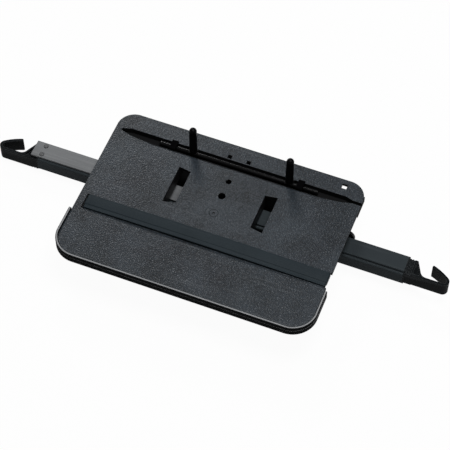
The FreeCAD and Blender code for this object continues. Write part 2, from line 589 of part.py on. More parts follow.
def make_hook_band():
    # Front leg, tight bend and a gently curved back leg that opens towards its tip.
    z = HOOK_LOW_Z
    start_x = NECK_END_X - CUT_EXTRA
    edges = [Part.makeLine(V(start_x, LEG_OUT_Y, z), V(start_x, LEG_IN_Y, z))]
    tip = []
    for out in (0.0, HOOK_BAND_T):
        leg_y = LEG_IN_Y - out
        back = arc_edge(BACK_X, BACK_Y, z, HOOK_BACK_R + out, 90.0 - HOOK_JOIN_DEG, BACK_TURN_DEG)
        edges.append(Part.makeLine(V(start_x, leg_y, z), V(HOOK_X, leg_y, z)))
        edges.append(arc_edge(HOOK_X, HOOK_Y, z, HOOK_IN_R + out, -90.0, 180.0 - HOOK_JOIN_DEG))
        edges.append(back)
        tip.append(back.valueAt(back.LastParameter))
    edges.append(Part.makeLine(tip[0], tip[1]))
    outline = Part.Wire(Part.__sortEdges__(edges))
    band = Part.Face(outline).extrude(V(0, 0, HOOK_BAND_H))
    rim = [e for e in band.Edges if e.BoundBox.ZLength > HOOK_BAND_T
           and any(e.Vertexes[0].Point.sub(V(p.x, p.y, e.Vertexes[0].Z)).Length < SAME for p in tip)]
    return band.makeFillet(HOOK_TIP_ROUND, rim)


def make_gusset():
    # Web between neck and front leg: a leaning flank, a rounded root and a pocket above and below.
    inner = NECK_END_X - CUT_EXTRA
    far = GUSSET_ROOT_X + GUSSET_ROOT_R
    gusset = prism_z([(inner, LEG_OUT_Y), (far, LEG_OUT_Y), (far, LEG_IN_Y), (GUSSET_ROOT_X, LEG_IN_Y),
                      (GUSSET_TOP_X, NECK_REAR_Y), (inner, NECK_REAR_Y)], HOOK_LOW_Z, HOOK_TOP_Z)
    root = [e for e in gusset.Edges if e.BoundBox.ZLength > GUSSET_POCKET
            and abs(e.BoundBox.XMin - GUSSET_ROOT_X) < SAME and abs(e.BoundBox.YMin - LEG_IN_Y) < SAME]
    gusset = gusset.makeFillet(GUSSET_ROOT_R, root)
    pocket = [(NECK_END_X, LEG_IN_Y), (GUSSET_ROOT_X - GUSSET_RIM, LEG_IN_Y), (NECK_END_X, POCKET_TIP_Y)]
    return gusset.cut([prism_z(pocket, HOOK_TOP_Z - GUSSET_POCKET, HOOK_TOP_Z + CUT_EXTRA),
                       prism_z(pocket, HOOK_LOW_Z - CUT_EXTRA, HOOK_LOW_Z + GUSSET_POCKET)])


def make_hook():
    plug = box(ARM_OUTER_X - PLUG_LEN, ARM_OUTER_X + COLLAR_LEN, ARM_FRONT_Y + ARM_WALL + PLUG_CLEAR,
               ARM_REAR_Y - ARM_WALL - PLUG_CLEAR, BLOCK_BOTTOM_Z + ARM_WALL + PLUG_CLEAR,
               BLOCK_TOP_Z - ARM_WALL - PLUG_CLEAR)
    collar = box(ARM_OUTER_X, COLLAR_END_X, ARM_FRONT_Y, ARM_REAR_Y, BLOCK_BOTTOM_Z, BLOCK_TOP_Z)
    collar = collar.makeFillet(ARM_ROUND, [e for e in collar.Edges if e.BoundBox.XLength > COLLAR_LEN / 2.0])
    collar_flat = box(ARM_OUTER_X, COLLAR_END_X, ARM_FLAT_FRONT_Y, ARM_FLAT_REAR_Y, STRIP_SEAT_Z, ARM_TOP_Z)
    flat_edges = [e for e in collar_flat.Edges
                  if e.BoundBox.XLength > COLLAR_LEN / 2.0 and abs(e.BoundBox.ZMin - ARM_TOP_Z) < SAME]
    collar_flat = collar_flat.makeFillet(ARM_FLAT_ROUND, flat_edges)
    neck_top = HOOK_TOP_Z - NECK_TOP_DROP
    neck = box(ARM_OUTER_X, NECK_END_X, LEG_OUT_Y, NECK_REAR_Y, HOOK_LOW_Z, neck_top)
    seat = box(ARM_OUTER_X, NECK_END_X, ARM_FLAT_FRONT_Y, NECK_REAR_Y, STRIP_SEAT_Z, neck_top)
    half = RIDGE_W / 2.0
    ridges = [box(rx - half, rx + half, LEG_OUT_Y, NECK_REAR_Y, neck_top - CUT_EXTRA, neck_top + RIDGE_H)
              for rx in RIDGE_XS]
    body = fuse_all([plug, collar, collar_flat, neck, seat, make_gusset(), make_hook_band()] + ridges)
    return body.cut(rivet_holes()).removeSplitter()


def make_slider():
    x1 = ARM_INNER_X + SLIDER_LEN
    block = box(ARM_INNER_X, x1, CHANNEL_FRONT_Y + SLIDE_CLEAR, CHANNEL_REAR_Y - SLIDE_CLEAR,
                CHANNEL_BOTTOM_Z + SLIDE_CLEAR, CHANNEL_TOP_Z - SLIDE_CLEAR)
    section = arm_section(SLIDER_BORE_CLEAR, STRIP_SEAT_Z)
    bore = prism_x(section, ARM_INNER_X - CUT_EXTRA, x1 + CUT_EXTRA)
    return block.cut([bore, slider_pin_hole()]).removeSplitter()


def make_slider_pin():
    return cyl_y(ARM_INNER_X + SLIDER_LEN / 2.0, CHANNEL_FRONT_Y + SLIDE_CLEAR + SLIDER_PIN_SINK,
                 CHANNEL_REAR_Y - SLIDE_CLEAR - SLIDER_PIN_SINK, BLOCK_MID_Z, SLIDER_PIN_R)


def make_guide_bush():
    rear = CHANNEL_REAR_Y - BUSH_SIDE_CLEAR
    block = box(BUSH_INNER_X, HOUSING_HALF_X, CHANNEL_FRONT_Y + BUSH_SIDE_CLEAR, rear,
                CHANNEL_BOTTOM_Z, CHANNEL_TOP_Z)
    ear = box(HOUSING_HALF_X, EAR_OUTER_X, EAR_FRONT_Y, EAR_REAR_Y, EAR_BOTTOM_Z, EAR_TOP_Z)
    corner = [e for e in ear.Edges if abs(e.BoundBox.XMin - EAR_OUTER_X) < SAME
              and abs(e.BoundBox.ZMin - EAR_TOP_Z) < SAME and e.BoundBox.ZLength < SAME]
    ear = ear.makeFillet(EAR_ROUND, corner)
    bush = fuse_all([block, ear])
    section = arm_section(SLIDE_CLEAR, ARM_BOTTOM_Z)
    bore = prism_x(section, BUSH_INNER_X - CUT_EXTRA, EAR_OUTER_X + CUT_EXTRA)
    return bush.cut(bore).removeSplitter()


def make_arm_housing():
    hx = HOUSING_HALF_X
    zt = HOUSING_TOP_Z
    zb = CHANNEL_BOTTOM_Z
    roof_top = CHANNEL_TOP_Z + HOUSING_WALL
    front_in = HOUSING_FRONT_Y + HOUSING_WALL
    mid_front = CHANNEL_FRONT_Y - HOUSING_WALL
    # Front wall, channel front wall, rear wall, channel roof and the centre stop.
    pieces = [
        box(-hx, hx, HOUSING_FRONT_Y, front_in, zb, zt),
        box(-hx, hx, mid_front, CHANNEL_FRONT_Y, zb, zt),
        box(-hx, hx, CHANNEL_REAR_Y, HOUSING_REAR_Y, zb, zt),
        box(-hx, hx, mid_front, HOUSING_REAR_Y, CHANNEL_TOP_Z, roof_top),
        box(-STOP_HALF_X, STOP_HALF_X, mid_front, HOUSING_REAR_Y, zb, roof_top),
    ]
    # End walls and the walls of the wells below the windows.
    cross_walls = ((hx - HOUSING_WALL, hx), (WINDOW_IN_X - WELL_WALL, WINDOW_IN_X),
                   (WINDOW_OUT_X, WINDOW_OUT_X + WELL_WALL))
    for side in (-1.0, 1.0):
        for xa, xb in cross_walls:
            pieces.append(box_sorted(side * xa, side * xb, HOUSING_FRONT_Y, CHANNEL_FRONT_Y, zb, zt))
            pieces.append(box_sorted(side * xa, side * xb, mid_front, HOUSING_REAR_Y, CHANNEL_TOP_Z, zt))
    for px, py in pillar_places():
        pieces.append(cyl_z(px, py, zb, zt, PILLAR_R))
        if py < 0:
            pieces.append(box(px - WEB_HALF_X, px + WEB_HALF_X, HOUSING_FRONT_Y, CHANNEL_FRONT_Y, zb, zt))
    # Socket under the pin hole, standing out behind the rear wall.
    socket = PIN_HOLE_R + PIN_RELIEF
    socket_out = socket + WELL_WALL
    pieces.append(box(-socket_out, socket_out, CHANNEL_REAR_Y, PIN_HOLE_Y + socket_out, CHANNEL_TOP_Z, zt))
    shell = fuse_all(pieces)
    cuts = []
    for side in (-1.0, 1.0):
        cuts.append(box_sorted(side * WINDOW_IN_X, side * WINDOW_OUT_X, front_in, CHANNEL_REAR_Y,
                               zb - CUT_EXTRA, zt + CUT_EXTRA))
        cuts.append(box_sorted(side * STOP_HALF_X, side * (hx + CUT_EXTRA), CHANNEL_FRONT_Y, CHANNEL_REAR_Y,
                               zb - CUT_EXTRA, CHANNEL_TOP_Z))
    for px, py in pillar_places():
        cuts.append(cyl_z(px, py, zb - CUT_EXTRA, zt + CUT_EXTRA, SCREW_PASS_R))
        cuts.append(cyl_z(px, py, BOSS_BOTTOM_Z - BOSS_CLEAR, zt + CUT_EXTRA, BOSS_R + BOSS_CLEAR))
    cuts.append(box(-socket, socket, PIN_HOLE_Y - socket, PIN_HOLE_Y + socket, roof_top, zt + CUT_EXTRA))
    return shell.cut(cuts).removeSplitter()


def make_housing_cover():
    lid = box(-HOUSING_HALF_X, HOUSING_HALF_X, HOUSING_FRONT_Y, HOUSING_REAR_Y,
              COVER_BOTTOM_Z, CHANNEL_BOTTOM_Z)
    tabs = [cyl_z(px, py, COVER_BOTTOM_Z, CHANNEL_BOTTOM_Z, PILLAR_R)
            for px, py in pillar_places() if py > 0]
    lid = fuse_all([lid] + tabs)
    cuts = []
    for px, py in pillar_places():
        cuts.append(cyl_z(px, py, COVER_BOTTOM_Z - CUT_EXTRA, CHANNEL_BOTTOM_Z + CUT_EXTRA, SCREW_PASS_R))
        cuts.append(cyl_z(px, py, COVER_BOTTOM_Z - CUT_EXTRA, COVER_BOTTOM_Z + SCREW_HEAD_H,
                          SCREW_HEAD_R + SCREW_HEAD_CLEAR))
    return lid.cut(cuts).removeSplitter()


def make_housing_screws():
    seat = COVER_BOTTOM_Z + SCREW_HEAD_H
    slot_low = COVER_BOTTOM_Z - CUT_EXTRA
    slot_top = COVER_BOTTOM_Z + SCREW_SLOT_DEPTH
    half = SCREW_SLOT_W / 2.0
    reach = SCREW_SLOT_REACH
    out = []
    for px, py in pillar_places():
        head = cyl_z(px, py, COVER_BOTTOM_Z, seat, SCREW_HEAD_R)
        shank = cyl_z(px, py, seat, SCREW_TIP_Z, SCREW_R)
        cross = [box(px - reach, px + reach, py - half, py + half, slot_low, slot_top),
                 box(px - half, px + half, py - reach, py + reach, slot_low, slot_top)]
        out.append(fuse_all([head, shank]).cut(cross).removeSplitter())
    return Part.makeCompound(out)


sleeve = make_arm_sleeve()
hook = make_hook()
rivets = make_hook_rivets()
slider = make_slider()
slider_pin = make_slider_pin()
bush = make_guide_bush()

nodes = {
    "tray_plate": make_tray_plate(),
    "front_edge_trim": make_front_edge_trim(),
    "hold_down_strap": make_hold_down_strap(),
    "rail_rod": make_rail_rod(),
    "rod_holder_left": make_rod_holder(-1.0),
    "rod_holder_right": make_rod_holder(1.0),
    "peg_left": make_peg(PEG_LEFT_X),
    "peg_right": make_peg(PEG_RIGHT_X),
    "arm_housing": make_arm_housing(),
    "housing_cover": make_housing_cover(),
    "housing_screws": make_housing_screws(),
    "guide_bush_right": bush,
    "guide_bush_left": turned_over(bush, 0.0),
    "arm_sleeve_right": sleeve,
    "arm_sleeve_left": turned_over(sleeve, LEFT_ARM_SHIFT),
    "arm_strip_right": make_arm_strip(COLLAR_END_X),
    "arm_strip_left": turned_over(make_arm_strip(LONG_STRIP_X), LEFT_ARM_SHIFT),
    "hook_right": hook,
    "hook_left": turned_over(hook, LEFT_ARM_SHIFT),
    "hook_rivets_right": rivets,
    "hook_rivets_left": turned_over(rivets, LEFT_ARM_SHIFT),
    "slider_right": slider,
    "slider_left": turned_over(slider, LEFT_ARM_SHIFT),
    "slider_pin_right": slider_pin,
    "slider_pin_left": turned_over(slider_pin, LEFT_ARM_SHIFT),
}

os.makedirs("parts", exist_ok=True)
for name, shape in nodes.items():
    shape.exportStep("parts/%s.step" % name)
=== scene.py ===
import json
import math

import bmesh
import bpy
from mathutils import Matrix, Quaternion, Vector


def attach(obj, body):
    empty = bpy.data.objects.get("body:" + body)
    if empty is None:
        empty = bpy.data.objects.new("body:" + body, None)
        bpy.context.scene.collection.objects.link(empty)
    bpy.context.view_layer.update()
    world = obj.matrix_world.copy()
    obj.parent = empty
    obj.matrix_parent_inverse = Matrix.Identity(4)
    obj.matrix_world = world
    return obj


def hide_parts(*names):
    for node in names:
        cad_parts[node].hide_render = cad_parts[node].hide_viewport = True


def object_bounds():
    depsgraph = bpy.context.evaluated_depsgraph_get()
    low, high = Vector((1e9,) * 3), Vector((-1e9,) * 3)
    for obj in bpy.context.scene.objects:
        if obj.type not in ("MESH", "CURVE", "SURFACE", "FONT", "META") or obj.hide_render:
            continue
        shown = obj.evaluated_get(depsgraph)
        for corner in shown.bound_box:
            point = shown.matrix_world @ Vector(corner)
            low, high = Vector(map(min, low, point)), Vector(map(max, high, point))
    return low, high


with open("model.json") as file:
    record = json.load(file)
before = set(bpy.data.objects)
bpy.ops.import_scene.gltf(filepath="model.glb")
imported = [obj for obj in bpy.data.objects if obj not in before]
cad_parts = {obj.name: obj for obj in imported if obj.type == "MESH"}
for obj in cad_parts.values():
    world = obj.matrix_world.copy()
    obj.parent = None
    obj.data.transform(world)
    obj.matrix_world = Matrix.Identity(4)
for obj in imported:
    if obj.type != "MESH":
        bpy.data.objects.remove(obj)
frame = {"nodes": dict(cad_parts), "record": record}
cad_low, cad_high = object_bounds()

MM = 0.001

# Hold-down strap, in millimetres: where it turns down through the slot and the notch, and its band.
SLOT_EDGE_X = -110.2
NOTCH_EDGE_X = 117.4
TRAY_T = 3.0
STRAP_GAP = 0.15
STRAP_RISE = 1.3
# Section of the band from rear to front: place across the tray, height above its inner face.
STRAP_SECTION = (
    (-42.0, 0.0), (-42.0, 0.75), (-42.9, 1.45), (-47.8, 1.45), (-52.7, 1.45), (-53.2, 0.95),
    (-55.6, 0.9), (-56.0, 1.3), (-57.0, 1.3), (-57.2, 0.0),
)
STRAP_ROUND = 0.22
STRAP_ROUND_SEGMENTS = 2
STRAP_TURN_STEPS = 8
STRAP_ARCH_STEPS = 24
STRAP_MERGE = 0.02
# Edges that turn further than these angles, in degrees, are rounded or shaded as sharp.
ROUND_ANGLE = 24.0
SHARP_ANGLE = 40.0

# Camera: what it looks at, from where and how closely. Angles in degrees, lens and sensor in millimetres.
LOOK_AT = Vector((0.01419, -0.02820, 0.0))
CAMERA_AZIMUTH = 21.371
CAMERA_ELEVATION = 55.784
CAMERA_ROLL = 0.103
CAMERA_DISTANCE = 1.49751
CAMERA_LENS = 134.754
CAMERA_SENSOR = 36.0
CAMERA_NEAR = 0.05
CAMERA_FAR = 20.0

# Floor: half its width, its grey, and how much of it shows as plain white rather than as lit paper.
FLOOR_HALF_WIDTH = 6.0
FLOOR_GREY = 0.62
FLOOR_ROUGHNESS = 0.9
FLOOR_WHITE_SHARE = 0.96
# The floor lies this far below the lid, so the two faces never share a plane.
FLOOR_GAP = 0.0002

# Lamps: place, width, height and power.
SKY_STRENGTH = 0.12
REAR_SOFTBOX = (Vector((-0.8, 1.26, 1.24)), 0.6, 0.45, 15.0)
TOP_SOFTBOX = (Vector((0.26, 0.0, 1.48)), 0.6, 0.6, 22.0)
WHITE = (1.0, 1.0, 1.0, 1.0)

# How much each effect adds to the colour of a moulded finish.
GRAIN_SHARE = 0.62
DYE_SHARE = 0.38
SCUFF_SHARE = 0.18
# The same for a metal finish.
METAL_LINE_SHARE = 0.6
METAL_DYE_SHARE = 0.4
METAL_SCUFF_SHARE = 0.3
METAL_EDGE_SHARE = 0.8
METAL_EDGE_RADIUS = 0.0003

# Steep faces and hollows, dark as painted shade on the tray: the roughness they take, the height over which the
# hollows fade in, and a floor below every piece.
HOLLOW_ROUGHNESS = 0.92
SUNK_SHADE_FADE = 0.0003
NO_FLOOR = -1.0

RIVET_NODES = ("hook_rivets_left", "hook_rivets_right")


def add(tree, kind, **settings):
    node = tree.nodes.new("ShaderNode" + kind)
    for name, value in settings.items():
        setattr(node, name, value)
    return node


def wire(tree, start, end):
    tree.links.new(start, end)


def new_group(name, inputs, outputs):
    group = bpy.data.node_groups.new(name, "ShaderNodeTree")
    for label, kind, value in inputs:
        socket = group.interface.new_socket(name=label, in_out="INPUT", socket_type="NodeSocket" + kind)
        if value is not None:
            socket.default_value = value
    for label, kind in outputs:
        group.interface.new_socket(name=label, in_out="OUTPUT", socket_type="NodeSocket" + kind)
    return group, group.nodes.new("NodeGroupInput"), group.nodes.new("NodeGroupOutput")


def math_node(tree, operation, first, second=None, clamp=False):
    node = add(tree, "Math", operation=operation, use_clamp=clamp)
    for index, value in enumerate((first, second)):
        if value is None:
            continue
        if isinstance(value, (int, float)):
            node.inputs[index].default_value = value
        else:
            wire(tree, value, node.inputs[index])
    return node.outputs[0]


def spread(tree, value, low, high, to_low=0.0, to_high=1.0):
    """Maps low..high smoothly to to_low..to_high. Each limit is a number or a socket."""
    node = add(tree, "MapRange", interpolation_type="SMOOTHSTEP")
    wire(tree, value, node.inputs["Value"])
    for key, amount in (("From Min", low), ("From Max", high), ("To Min", to_low), ("To Max", to_high)):
        if isinstance(amount, bpy.types.NodeSocket):
            wire(tree, amount, node.inputs[key])
        else:
            node.inputs[key].default_value = amount
    return node.outputs["Result"]


def noise_node(tree, place, scale, detail=None):
    node = add(tree, "TexNoise", noise_dimensions="3D")
    if detail is not None:
        node.inputs["Detail"].default_value = detail
    wire(tree, place, node.inputs["Vector"])
    wire(tree, scale, node.inputs["Scale"])
    return node


def pebble_grain_group():
    """Moulded pebble grain: rounded cells of uneven size with a fine tooth on top. Its shade is a random tone
    per cell plus painted shade, lighter on the cells' domes and darker in the creases between them.
    """
    warp_waves = 0.55
    warp_reach = 0.9
    cell_smoothness = 0.35
    dome_top, dome_foot = 0.12, 0.7
    tooth_waves = 3.1
    # How much of the shade is a random tone per cell, and how much is painted shade darkening the creases
    # between cells.
    tint_share, crease_shade_share = 0.55, 0.45
    group, given, out = new_group(
        "pebble_grain",
        [("Vector", "Vector", None), ("Cells per metre", "Float", 800.0), ("Tooth", "Float", 0.25)],
        [("Height", "Float"), ("Shade", "Float")])
    place = given.outputs["Vector"]
    cells = given.outputs["Cells per metre"]
    warp = noise_node(group, place, math_node(group, "MULTIPLY", cells, warp_waves), detail=1.0)
    shift = add(group, "VectorMath", operation="SCALE")
    wire(group, warp.outputs["Color"], shift.inputs[0])
    wire(group, math_node(group, "DIVIDE", warp_reach, cells), shift.inputs["Scale"])
    moved = add(group, "VectorMath", operation="ADD")
    wire(group, place, moved.inputs[0])
    wire(group, shift.outputs[0], moved.inputs[1])
    cell = add(group, "TexVoronoi", feature="SMOOTH_F1")
    cell.inputs["Smoothness"].default_value = cell_smoothness
    wire(group, moved.outputs[0], cell.inputs["Vector"])
    wire(group, cells, cell.inputs["Scale"])
    dome = spread(group, cell.outputs["Distance"], dome_top, dome_foot, 1.0, 0.0)
    tooth = noise_node(group, place, math_node(group, "MULTIPLY", cells, tooth_waves), detail=2.0)
    fine = math_node(group, "MULTIPLY", tooth.outputs["Fac"], given.outputs["Tooth"])
    wire(group, math_node(group, "ADD", dome, fine), out.inputs["Height"])
    tint = add(group, "SeparateColor")
    wire(group, cell.outputs["Color"], tint.inputs["Color"])
    cell_tint = math_node(group, "MULTIPLY", tint.outputs["Red"], tint_share)
    crease_shade = math_node(group, "MULTIPLY", dome, crease_shade_share)
    wire(group, math_node(group, "ADD", cell_tint, crease_shade), out.inputs["Shade"])
    return group


def dye_mottle_group():
    """Slow uneven colour of a coloured moulding, with a little handling haze."""
    haze = 0.55
    shade_low, shade_high = 0.28, 0.72
    group, given, out = new_group(
        "dye_mottle",
        [("Vector", "Vector", None), ("Patches per metre", "Float", 22.0)],
        [("Shade", "Float")])
    broad = noise_node(group, given.outputs["Vector"], given.outputs["Patches per metre"], detail=3.0)
    broad.inputs["Roughness"].default_value = haze
    wire(group, spread(group, broad.outputs["Fac"], shade_low, shade_high), out.inputs["Shade"])
    return group


def edge_wear_highlight_group():
    """Rubbed edges that also carry a painted edge highlight: where the surface turns within the radius, broken
    up by a fine noise.
    """
    bevel_samples = 6
    bend_low, bend_high = 0.01, 0.16
    break_low, break_high = 0.3, 0.62
    faintest_edge = 0.25
    group, given, out = new_group(
        "edge_wear_highlight",
        [("Vector", "Vector", None), ("Radius", "Float", None), ("Breaks per metre", "Float", 420.0)],
        [("Edge", "Float"), ("Rounded", "Vector")])
    bevel = add(group, "Bevel", samples=bevel_samples)
    wire(group, given.outputs["Radius"], bevel.inputs["Radius"])
    face = add(group, "NewGeometry")
    turned = add(group, "VectorMath", operation="DOT_PRODUCT")
    wire(group, bevel.outputs["Normal"], turned.inputs[0])
    wire(group, face.outputs["Normal"], turned.inputs[1])
    bend = math_node(group, "SUBTRACT", 1.0, turned.outputs["Value"], clamp=True)
    breaks = noise_node(group, given.outputs["Vector"], given.outputs["Breaks per metre"], detail=3.0)
    wear_and_highlight = spread(group, bend, bend_low, bend_high)
    patchy = spread(group, breaks.outputs["Fac"], break_low, break_high, faintest_edge, 1.0)
    wire(group, math_node(group, "MULTIPLY", wear_and_highlight, patchy, clamp=True), out.inputs["Edge"])
    wire(group, bevel.outputs["Normal"], out.inputs["Rounded"])
    return group


def scuff_group():
    """Fine straight scuffs in two directions, thin and sparse."""
    turn_and_stretch = ((0.5, 34.0), (-0.35, 22.0))
    mark_low, mark_high = 0.66, 0.76
    group, given, out = new_group(
        "scuffs",
        [("Vector", "Vector", None), ("Lines per metre", "Float", 260.0)],
        [("Scuff", "Float")])
    marks = []
    for turn, stretch in turn_and_stretch:
        lay = add(group, "Mapping")
        lay.inputs["Rotation"].default_value = (0.0, 0.0, turn)
        lay.inputs["Scale"].default_value = (1.0 / stretch, 1.0, 1.0)
        wire(group, given.outputs["Vector"], lay.inputs["Vector"])
        streak = noise_node(group, lay.outputs["Vector"], given.outputs["Lines per metre"], detail=1.0)
        marks.append(spread(group, streak.outputs["Fac"], mark_low, mark_high))
    wire(group, math_node(group, "MAXIMUM", marks[0], marks[1]), out.inputs["Scuff"])
    return group


def drawn_lines_group():
    """Lines along X left by rolling or drawing, as on a flat metal strip."""
    stretch = 0.015
    broad_waves = 0.22
    shade_low, shade_high = 0.3, 0.7
    group, given, out = new_group(
        "drawn_lines",
        [("Vector", "Vector", None), ("Lines per metre", "Float", 900.0)],
        [("Height", "Float"), ("Shade", "Float")])
    lines = given.outputs["Lines per metre"]
    lay = add(group, "Mapping")
    lay.inputs["Scale"].default_value = (stretch, 1.0, 1.0)
    wire(group, given.outputs["Vector"], lay.inputs["Vector"])
    fine = noise_node(group, lay.outputs["Vector"], lines, detail=3.0)
    wire(group, fine.outputs["Fac"], out.inputs["Height"])
    broad = noise_node(group, lay.outputs["Vector"], math_node(group, "MULTIPLY", lines, broad_waves))
    wire(group, spread(group, broad.outputs["Fac"], shade_low, shade_high), out.inputs["Shade"])
    return group


def steep_shade_group():
    """Mask for steep faces and hollows, where a finish puts painted shade or its own black: 0 on open level
    faces, 1 on steep faces and below the given height.
    """
    group, given, out = new_group(
        "steep_shade",
        [("Normal", "Vector", None), ("Vector", "Vector", None), ("Floor", "Float", None),
         ("Steep", "Float", None), ("Flat", "Float", None)],
        [("Steep Shade", "Float")])
    normal = add(group, "SeparateXYZ")
    wire(group, given.outputs["Normal"], normal.inputs["Vector"])
    level = math_node(group, "ABSOLUTE", normal.outputs["Z"])
    steep = spread(group, level, given.outputs["Steep"], given.outputs["Flat"], 1.0, 0.0)
    point = add(group, "SeparateXYZ")
    wire(group, given.outputs["Vector"], point.inputs["Vector"])
    depth = math_node(group, "SUBTRACT", given.outputs["Floor"], point.outputs["Z"])
    below = spread(group, depth, -SUNK_SHADE_FADE, SUNK_SHADE_FADE)
    wire(group, math_node(group, "MAXIMUM", steep, below), out.inputs["Steep Shade"])
    return group


def slant_ribs_group():
    """Fine slanting ribs, as rolled into a soft edge trim."""
    group, given, out = new_group(
        "slant_ribs",
        [("Vector", "Vector", None), ("Ribs per metre", "Float", 420.0)],
        [("Height", "Float")])
    parts = add(group, "SeparateXYZ")
    wire(group, given.outputs["Vector"], parts.inputs["Vector"])
    along = math_node(group, "ADD", parts.outputs["X"], parts.outputs["Y"])
    slant = math_node(group, "ADD", along, parts.outputs["Z"])
    turns = math_node(group, "MULTIPLY", slant, given.outputs["Ribs per metre"])
    wave = math_node(group, "SINE", math_node(group, "MULTIPLY", turns, 2.0 * math.pi))
    wire(group, spread(group, wave, -1.0, 1.0), out.inputs["Height"])
    return group


PEBBLE_GRAIN = pebble_grain_group()
DYE_MOTTLE = dye_mottle_group()
EDGE_WEAR_HIGHLIGHT = edge_wear_highlight_group()
SCUFFS = scuff_group()
DRAWN_LINES = drawn_lines_group()
STEEP_SHADE = steep_shade_group()
SLANT_RIBS = slant_ribs_group()


def place_group(tree, group, **values):
    node = add(tree, "Group", node_tree=group)
    for label, value in values.items():
        node.inputs[label.replace("_", " ")].default_value = value
    return node


def mix_colour(tree, share, first, second):
    """Mixes two colours, each a socket or a tuple, by the socket share."""
    node = add(tree, "Mix", data_type="RGBA", clamp_factor=True)
    for key, value in (("Factor_Float", share), ("A_Color", first), ("B_Color", second)):
        socket = next(s for s in node.inputs if s.identifier == key)
        if isinstance(value, tuple):
            socket.default_value = (*value, 1.0)
        else:
            wire(tree, value, socket)
    return next(s for s in node.outputs if s.identifier == "Result_Color")


def new_material(name):
    material = bpy.data.materials.new(name)
    material.use_nodes = True
    tree = material.node_tree
    shader = next(n for n in tree.nodes if n.type == "BSDF_PRINCIPLED")
    coords = add(tree, "TexCoord")
    return material, tree, shader, coords


def bump_shader(tree, shader, height, depth, rounded):
    bump = add(tree, "Bump")
    bump.inputs["Strength"].default_value = 1.0
    bump.inputs["Distance"].default_value = depth
    wire(tree, height, bump.inputs["Height"])
    wire(tree, rounded, bump.inputs["Normal"])
    wire(tree, bump.outputs["Normal"], shader.inputs["Normal"])


def moulded(name, dark, light, wear_highlight_colour, cells, depth, rough, shine, edge=0.0004, wear_and_highlight=0.6,
            steep_shade_and_black=None, ribs=0.0):
    """A moulded finish: pebble grain with painted shade in its creases, uneven dye, rubbed edges with a painted
    edge highlight, and fine scuffs.

    dark and light are the ends of the grain's colour; the colour after them is that of scuffs and of the edges,
    which it lightens partly as wear and partly as a painted highlight.
    cells is the number of grain cells per metre and depth is their height. The optional tuple of four holds the
    dark colour for steep faces and hollows (painted shade on the tray, the trim's own black on its walls), the
    height below which every face counts as a hollow, and how level a face is where it counts fully and where it
    no longer counts.
    """
    material, tree, shader, coords = new_material(name)
    place = coords.outputs["Object"]
    shader.inputs["Specular IOR Level"].default_value = shine
    grain = place_group(tree, PEBBLE_GRAIN, Cells_per_metre=cells)
    mottle = place_group(tree, DYE_MOTTLE)
    edges = place_group(tree, EDGE_WEAR_HIGHLIGHT, Radius=edge)
    scuff = place_group(tree, SCUFFS)
    for node in (grain, mottle, edges, scuff):
        wire(tree, place, node.inputs["Vector"])
    grain_part = math_node(tree, "MULTIPLY", grain.outputs["Shade"], GRAIN_SHARE)
    dye_part = math_node(tree, "MULTIPLY", mottle.outputs["Shade"], DYE_SHARE)
    colour = mix_colour(tree, math_node(tree, "ADD", grain_part, dye_part), dark, light)
    scuffed = math_node(tree, "MULTIPLY", scuff.outputs["Scuff"], SCUFF_SHARE)
    colour = mix_colour(tree, scuffed, colour, wear_highlight_colour)
    # Edges take the scuff colour, partly as wear and partly as a painted highlight.
    colour = mix_colour(tree, math_node(tree, "MULTIPLY", edges.outputs["Edge"], wear_and_highlight), colour, wear_highlight_colour)
    low, high = rough
    roughness = spread(tree, grain.outputs["Shade"], 0.0, 1.0, high, low)
    # Steep faces and hollows take the given dark colour, as painted shade on the tray and as the trim's own
    # black on its walls, and are made rough.
    if steep_shade_and_black:
        shade_and_black, floor, steep, flat = steep_shade_and_black
        steep_shade = place_group(tree, STEEP_SHADE, Floor=floor, Steep=steep, Flat=flat)
        wire(tree, coords.outputs["Normal"], steep_shade.inputs["Normal"])
        wire(tree, place, steep_shade.inputs["Vector"])
        colour = mix_colour(tree, steep_shade.outputs["Steep Shade"], colour, shade_and_black)
        dull = math_node(tree, "MULTIPLY", steep_shade.outputs["Steep Shade"], HOLLOW_ROUGHNESS)
        roughness = math_node(tree, "MAXIMUM", roughness, dull)
    wire(tree, colour, shader.inputs["Base Color"])
    wire(tree, roughness, shader.inputs["Roughness"])
    height = grain.outputs["Height"]
    if ribs:
        slant = place_group(tree, SLANT_RIBS)
        wire(tree, place, slant.inputs["Vector"])
        height = math_node(tree, "ADD", height, math_node(tree, "MULTIPLY", slant.outputs["Height"], ribs))
    bump_shader(tree, shader, height, depth, edges.outputs["Rounded"])
    return material


